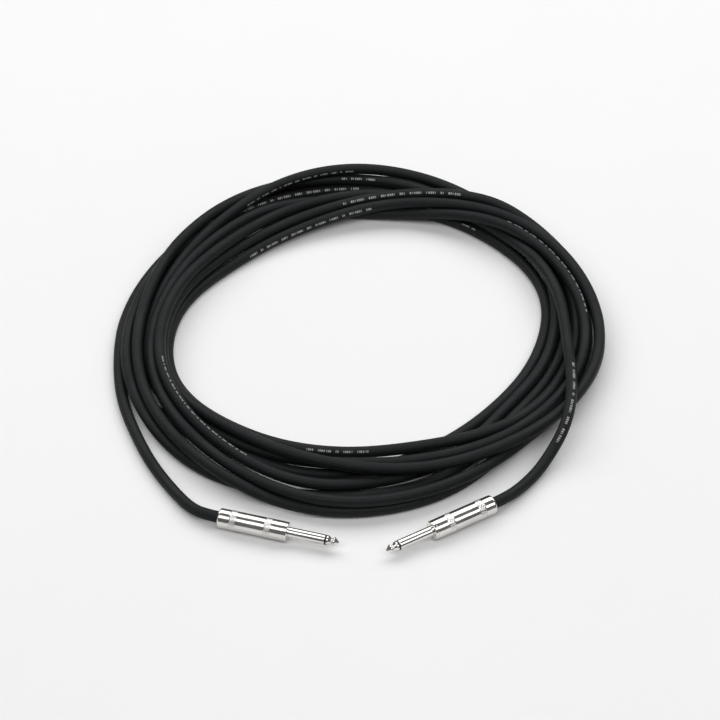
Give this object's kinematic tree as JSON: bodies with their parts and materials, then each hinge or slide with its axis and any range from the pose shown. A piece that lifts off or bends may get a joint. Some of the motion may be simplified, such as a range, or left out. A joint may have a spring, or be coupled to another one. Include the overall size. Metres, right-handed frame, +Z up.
{
  "type": "instrument cable",
  "caption": "Coiled round black cable with a straight two-pole quarter-inch phone plug on each end; the metal shells unscrew to reach the solder terminals.",
  "frame": {"origin": "floor level, in the middle of the two plugs, which lie in front of the coil", "axes": "+X from the left plug towards the right plug, +Y from the plugs towards the coil, +Z up"},
  "size_m": [0.3054, 0.3402, 0.02],
  "materials": {
    "nickel": "bright nickel plate on turned brass",
    "insulator": "moulded black",
    "fibre": "vulcanised fibre washer",
    "liner": "thin milky tube",
    "tinned_brass": "tinned stamped brass",
    "wire_red": "extruded insulation",
    "wire_black": "extruded insulation",
    "copper": "bare stranded copper",
    "solder": "soft solder",
    "jacket": "matte extruded jacket with worn white marks"
  },
  "bodies": {
    "root": {"cable_coil": "jacket", "cable_lead_left": "jacket", "cable_lead_right": "jacket", "left_sleeve": "nickel", "left_tip": "nickel", "left_tip_ring": "insulator", "left_core_tube": "insulator", "left_rear_washer": "fibre", "left_tip_terminal": "tinned_brass", "left_sleeve_terminal": "tinned_brass", "left_tip_wire": "wire_red", "left_sleeve_wire": "wire_black", "left_tip_strands": "copper", "left_sleeve_strands": "copper", "left_tip_solder": "solder", "left_sleeve_solder": "solder", "right_sleeve": "nickel", "right_tip": "nickel", "right_tip_ring": "insulator", "right_core_tube": "insulator", "right_rear_washer": "fibre", "right_tip_terminal": "tinned_brass", "right_sleeve_terminal": "tinned_brass", "right_tip_wire": "wire_red", "right_sleeve_wire": "wire_black", "right_tip_strands": "copper", "right_sleeve_strands": "copper", "right_tip_solder": "solder", "right_sleeve_solder": "solder"},
    "left_liner_body": {"left_liner": "liner"},
    "left_shell_body": {"left_shell": "nickel"},
    "right_liner_body": {"right_liner": "liner"},
    "right_shell_body": {"right_shell": "nickel"}
  },
  "joints": [
    {"name": "left_shell_slide", "type": "slide", "parent": "root", "child": "left_liner_body", "axis": [-0.9617, 0.274, 0], "range_m": [0, 0.0048]},
    {"name": "left_shell_turn", "type": "hinge", "parent": "left_liner_body", "child": "left_shell_body", "pos_m": [-0.06187, 0.00042, 0.0059], "axis": [-0.9617, 0.274, 0], "range_deg": [0, 2160]},
    {"name": "right_shell_slide", "type": "slide", "parent": "root", "child": "right_liner_body", "axis": [0.8616, 0.5075, 0], "range_m": [0, 0.0048]},
    {"name": "right_shell_turn", "type": "hinge", "parent": "right_liner_body", "child": "right_shell_body", "pos_m": [0.06267, 0.00665, 0.0059], "axis": [0.8616, 0.5075, 0], "range_deg": [0, 2160]}
  ],
  "couplings": [
    {"joint": "left_shell_slide", "follows": "left_shell_turn", "m_per_rad": 0.00012732},
    {"joint": "right_shell_slide", "follows": "right_shell_turn", "m_per_rad": 0.00012732}
  ]
}
